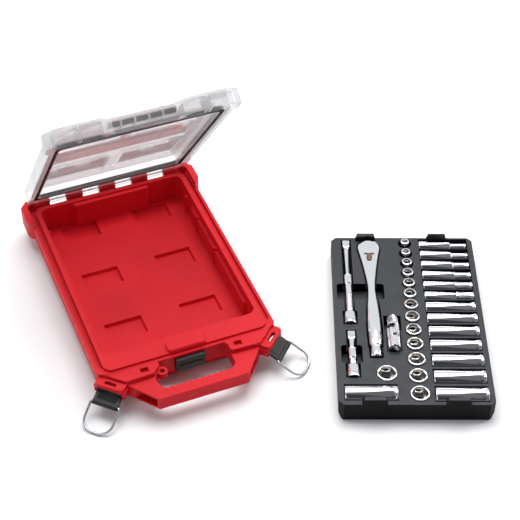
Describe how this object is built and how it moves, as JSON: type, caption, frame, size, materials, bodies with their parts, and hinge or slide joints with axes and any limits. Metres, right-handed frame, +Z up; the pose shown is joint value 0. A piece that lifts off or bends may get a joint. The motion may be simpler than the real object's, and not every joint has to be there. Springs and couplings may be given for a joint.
{
  "type": "socket wrench set in case",
  "caption": "Socket wrench set: sockets, a ratchet, extensions and a universal joint in a moulded tray, beside a low red carrying case with a clear hinged lid and draw latches.",
  "frame": {"origin": "middle of the whole set's footprint, on the surface that the case and the tray stand on", "axes": "+Z up, +X to the right along the case's hinge, +Y from the case's handle to its hinge; the tray stands to the right, turned about 22 degrees clockwise seen from above"},
  "size_m": [0.569, 0.5434, 0.326],
  "materials": {
    "case_red": "moulded, satin",
    "lid_clear": "clear moulded polycarbonate, polished with grained pads",
    "seal_black": "matt",
    "plastic_black": "moulded, satin",
    "tray_grey": "moulded, fine grain",
    "chrome": "polished",
    "steel": "bright zinc plated",
    "steel_dark": "dark bronze oxide"
  },
  "bodies": {
    "case": {"case_base": "case_red", "hinge_pin": "steel", "latch_pin_left": "steel", "latch_pin_right": "steel", "stack_lock_spring": "steel"},
    "lid": {"case_lid": "lid_clear", "lid_gasket": "seal_black"},
    "lever_left": {"latch_lever_left": "plastic_black"},
    "lever_right": {"latch_lever_right": "plastic_black"},
    "bail_left": {"latch_bail_left": "steel"},
    "bail_right": {"latch_bail_right": "steel"},
    "stack_lock": {"stack_lock_slide": "plastic_black"},
    "tray": {"socket_tray": "tray_grey"},
    "ratchet": {"ratchet_body": "chrome", "ratchet_cover": "steel", "cover_screw_left": "steel_dark", "cover_screw_right": "steel_dark"},
    "ratchet_drive": {"ratchet_gear": "chrome", "ratchet_ball": "steel"},
    "direction_lever": {"direction_lever": "steel_dark"},
    "pawl": {"ratchet_pawl": "steel"},
    "extension_long": {"extension_long": "chrome", "extension_long_ball": "steel"},
    "extension_short": {"extension_short": "chrome", "extension_short_ball": "steel"},
    "ujoint_socket_end": {"ujoint_socket_fork": "chrome", "ujoint_pin": "steel"},
    "ujoint_cross": {"ujoint_cross": "steel"},
    "ujoint_drive_end": {"ujoint_drive_fork": "chrome", "ujoint_ball": "steel"},
    "shallow_06": {"shallow_socket_06": "chrome"},
    "shallow_07": {"shallow_socket_07": "chrome"},
    "shallow_08": {"shallow_socket_08": "chrome"},
    "shallow_09": {"shallow_socket_09": "chrome"},
    "shallow_10": {"shallow_socket_10": "chrome"},
    "shallow_11": {"shallow_socket_11": "chrome"},
    "shallow_12": {"shallow_socket_12": "chrome"},
    "shallow_13": {"shallow_socket_13": "chrome"},
    "shallow_14": {"shallow_socket_14": "chrome"},
    "shallow_15": {"shallow_socket_15": "chrome"},
    "shallow_16": {"shallow_socket_16": "chrome"},
    "shallow_17": {"shallow_socket_17": "chrome"},
    "shallow_18": {"shallow_socket_18": "chrome"},
    "shallow_19": {"shallow_socket_19": "chrome"},
    "deep_06": {"deep_socket_06": "chrome"},
    "deep_07": {"deep_socket_07": "chrome"},
    "deep_08": {"deep_socket_08": "chrome"},
    "deep_09": {"deep_socket_09": "chrome"},
    "deep_10": {"deep_socket_10": "chrome"},
    "deep_11": {"deep_socket_11": "chrome"},
    "deep_12": {"deep_socket_12": "chrome"},
    "deep_13": {"deep_socket_13": "chrome"},
    "deep_14": {"deep_socket_14": "chrome"},
    "deep_15": {"deep_socket_15": "chrome"},
    "deep_16": {"deep_socket_16": "chrome"},
    "deep_17": {"deep_socket_17": "chrome"},
    "deep_18": {"deep_socket_18": "chrome"},
    "deep_19": {"deep_socket_19": "chrome"}
  },
  "joints": [
    {"name": "lid_hinge", "type": "hinge", "parent": "case", "child": "lid", "pos_m": [-0.13714, 0.26267, 0.0454], "axis": [-1, 0, 0], "range_deg": [-50.5, 59.5]},
    {"name": "latch_lever_left", "type": "hinge", "parent": "case", "child": "lever_left", "pos_m": [-0.24164, -0.08183, 0.027], "axis": [-0.7071, 0.7071, 0], "range_deg": [-50, 53]},
    {"name": "latch_lever_right", "type": "hinge", "parent": "case", "child": "lever_right", "pos_m": [-0.03264, -0.08183, 0.027], "axis": [-0.7071, -0.7071, 0], "range_deg": [-50, 53]},
    {"name": "latch_bail_left", "type": "hinge", "parent": "lever_left", "child": "bail_left", "pos_m": [-0.25221, -0.0924, 0.01889], "axis": [-0.7071, 0.7071, 0], "range_deg": [-15, 80]},
    {"name": "latch_bail_right", "type": "hinge", "parent": "lever_right", "child": "bail_right", "pos_m": [-0.02208, -0.0924, 0.01889], "axis": [-0.7071, -0.7071, 0], "range_deg": [-15, 80]},
    {"name": "stack_lock_press", "type": "slide", "parent": "case", "child": "stack_lock", "axis": [0, 1, 0], "range_m": [0, 0.004], "stiffness_N_per_m": 600, "springref_m": -0.005, "deforming": ["stack_lock_spring"]},
    {"name": "tray_lift", "type": "slide", "parent": "case", "child": "tray", "axis": [0, 0, 1], "range_m": [0, 0.15]},
    {"name": "ratchet_lift", "type": "slide", "parent": "tray", "child": "ratchet", "axis": [0, 0, 1], "range_m": [0, 0.1]},
    {"name": "ratchet_drive_turn", "type": "hinge", "parent": "ratchet", "child": "ratchet_drive", "pos_m": [0.15102, 0.03004, 0.025], "axis": [0, 0, 1], "continuous": true},
    {"name": "direction_lever_swing", "type": "hinge", "parent": "ratchet", "child": "direction_lever", "pos_m": [0.1446, 0.0143, 0.025], "axis": [0, 0, 1], "range_deg": [-25, 25]},
    {"name": "pawl_rock", "type": "hinge", "parent": "ratchet", "child": "pawl", "pos_m": [0.1446, 0.0143, 0.025], "axis": [0, 0, 1], "range_deg": [-10, 10]},
    {"name": "ujoint_lift", "type": "slide", "parent": "tray", "child": "ujoint_socket_end", "axis": [0, 0, 1], "range_m": [0, 0.1]},
    {"name": "ujoint_pin_turn", "type": "hinge", "parent": "ujoint_socket_end", "child": "ujoint_cross", "pos_m": [0.11248, -0.12487, 0.0305], "axis": [0.6548, -0.2669, -0.7071], "range_deg": [0, 22]},
    {"name": "ujoint_trunnion_turn", "type": "hinge", "parent": "ujoint_cross", "child": "ujoint_drive_end", "pos_m": [0.11248, -0.12487, 0.0305], "axis": [-0.6548, 0.2669, -0.7071], "range_deg": [-22, 0]},
    {"name": "extension_long_lift", "type": "slide", "parent": "tray", "child": "extension_long", "axis": [0, 0, 1], "range_m": [0, 0.1]},
    {"name": "extension_short_lift", "type": "slide", "parent": "tray", "child": "extension_short", "axis": [0, 0, 1], "range_m": [0, 0.1]},
    {"name": "shallow_06_lift", "type": "slide", "parent": "tray", "child": "shallow_06", "axis": [0, 0, 1], "range_m": [0, 0.06]},
    {"name": "shallow_07_lift", "type": "slide", "parent": "tray", "child": "shallow_07", "axis": [0, 0, 1], "range_m": [0, 0.06]},
    {"name": "shallow_08_lift", "type": "slide", "parent": "tray", "child": "shallow_08", "axis": [0, 0, 1], "range_m": [0, 0.06]},
    {"name": "shallow_09_lift", "type": "slide", "parent": "tray", "child": "shallow_09", "axis": [0, 0, 1], "range_m": [0, 0.06]},
    {"name": "shallow_10_lift", "type": "slide", "parent": "tray", "child": "shallow_10", "axis": [0, 0, 1], "range_m": [0, 0.06]},
    {"name": "shallow_11_lift", "type": "slide", "parent": "tray", "child": "shallow_11", "axis": [0, 0, 1], "range_m": [0, 0.06]},
    {"name": "shallow_12_lift", "type": "slide", "parent": "tray", "child": "shallow_12", "axis": [0, 0, 1], "range_m": [0, 0.06]},
    {"name": "shallow_13_lift", "type": "slide", "parent": "tray", "child": "shallow_13", "axis": [0, 0, 1], "range_m": [0, 0.06]},
    {"name": "shallow_14_lift", "type": "slide", "parent": "tray", "child": "shallow_14", "axis": [0, 0, 1], "range_m": [0, 0.06]},
    {"name": "shallow_15_lift", "type": "slide", "parent": "tray", "child": "shallow_15", "axis": [0, 0, 1], "range_m": [0, 0.06]},
    {"name": "shallow_16_lift", "type": "slide", "parent": "tray", "child": "shallow_16", "axis": [0, 0, 1], "range_m": [0, 0.06]},
    {"name": "shallow_17_lift", "type": "slide", "parent": "tray", "child": "shallow_17", "axis": [0, 0, 1], "range_m": [0, 0.06]},
    {"name": "shallow_18_lift", "type": "slide", "parent": "tray", "child": "shallow_18", "axis": [0, 0, 1], "range_m": [0, 0.06]},
    {"name": "shallow_19_lift", "type": "slide", "parent": "tray", "child": "shallow_19", "axis": [0, 0, 1], "range_m": [0, 0.06]},
    {"name": "deep_06_lift", "type": "slide", "parent": "tray", "child": "deep_06", "axis": [0, 0, 1], "range_m": [0, 0.06]},
    {"name": "deep_07_lift", "type": "slide", "parent": "tray", "child": "deep_07", "axis": [0, 0, 1], "range_m": [0, 0.06]},
    {"name": "deep_08_lift", "type": "slide", "parent": "tray", "child": "deep_08", "axis": [0, 0, 1], "range_m": [0, 0.06]},
    {"name": "deep_09_lift", "type": "slide", "parent": "tray", "child": "deep_09", "axis": [0, 0, 1], "range_m": [0, 0.06]},
    {"name": "deep_10_lift", "type": "slide", "parent": "tray", "child": "deep_10", "axis": [0, 0, 1], "range_m": [0, 0.06]},
    {"name": "deep_11_lift", "type": "slide", "parent": "tray", "child": "deep_11", "axis": [0, 0, 1], "range_m": [0, 0.06]},
    {"name": "deep_12_lift", "type": "slide", "parent": "tray", "child": "deep_12", "axis": [0, 0, 1], "range_m": [0, 0.06]},
    {"name": "deep_13_lift", "type": "slide", "parent": "tray", "child": "deep_13", "axis": [0, 0, 1], "range_m": [0, 0.06]},
    {"name": "deep_14_lift", "type": "slide", "parent": "tray", "child": "deep_14", "axis": [0, 0, 1], "range_m": [0, 0.06]},
    {"name": "deep_15_lift", "type": "slide", "parent": "tray", "child": "deep_15", "axis": [0, 0, 1], "range_m": [0, 0.06]},
    {"name": "deep_16_lift", "type": "slide", "parent": "tray", "child": "deep_16", "axis": [0, 0, 1], "range_m": [0, 0.06]},
    {"name": "deep_17_lift", "type": "slide", "parent": "tray", "child": "deep_17", "axis": [0, 0, 1], "range_m": [0, 0.06]},
    {"name": "deep_18_lift", "type": "slide", "parent": "tray", "child": "deep_18", "axis": [0, 0, 1], "range_m": [0, 0.06]},
    {"name": "deep_19_lift", "type": "slide", "parent": "tray", "child": "deep_19", "axis": [0, 0, 1], "range_m": [0, 0.06]}
  ],
  "couplings": [
    {"joint": "pawl_rock", "follows": "direction_lever_swing", "ratio": 0.4}
  ]
}
